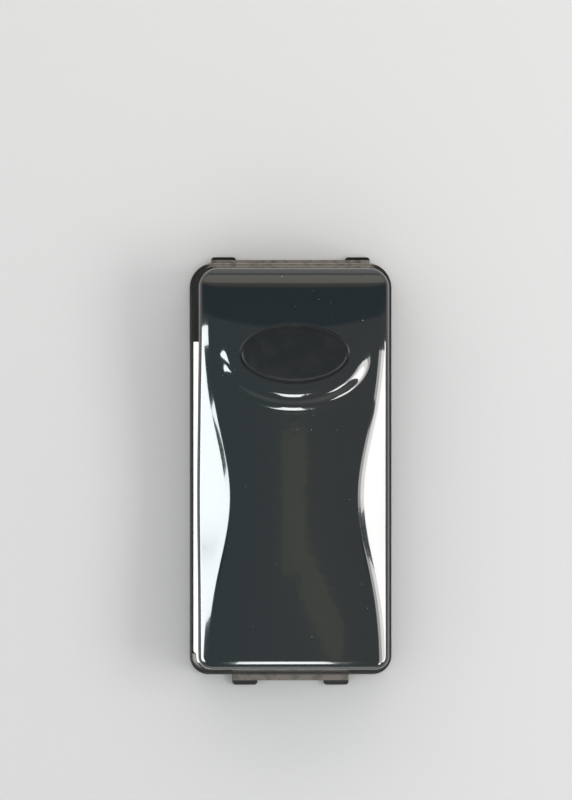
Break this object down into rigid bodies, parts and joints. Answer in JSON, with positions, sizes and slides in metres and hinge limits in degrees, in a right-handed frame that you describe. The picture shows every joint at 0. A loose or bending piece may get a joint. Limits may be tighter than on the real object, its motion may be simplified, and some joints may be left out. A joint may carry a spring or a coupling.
{
  "type": "magnetic key box",
  "caption": "Magnetic key holder box: a waisted moulded lid slides off a tray whose underside carries riveted channel magnets.",
  "frame": {"origin": "under the middle of the box's overall length and width, on the plane of the magnets' faces", "axes": "+Z out of the lid's top, +Y along the length towards the closed end, the way the lid slides off, +X to the right"},
  "size_m": [0.05, 0.106, 0.024],
  "materials": {
    "lid_plastic": "moulded black, high gloss",
    "base_plastic": "moulded black, satin",
    "ferrite": "sintered dark grey, ground face",
    "zinc_steel": "bright zinc plate",
    "rivet_metal": "plain, cold headed",
    "washer_steel": "bright zinc plate, tumbled"
  },
  "bodies": {
    "base": {"base_tray": "base_plastic", "front_magnet": "ferrite", "back_magnet": "ferrite", "front_magnet_channel": "zinc_steel", "back_magnet_channel": "zinc_steel", "front_magnet_rivet": "rivet_metal", "back_magnet_rivet": "rivet_metal", "front_rivet_washer": "washer_steel", "back_rivet_washer": "washer_steel"},
    "lid": {"lid": "lid_plastic"}
  },
  "joints": [
    {"name": "lid_slide", "type": "slide", "parent": "base", "child": "lid", "axis": [0, 1, 0], "range_m": [0, 0.106]}
  ]
}
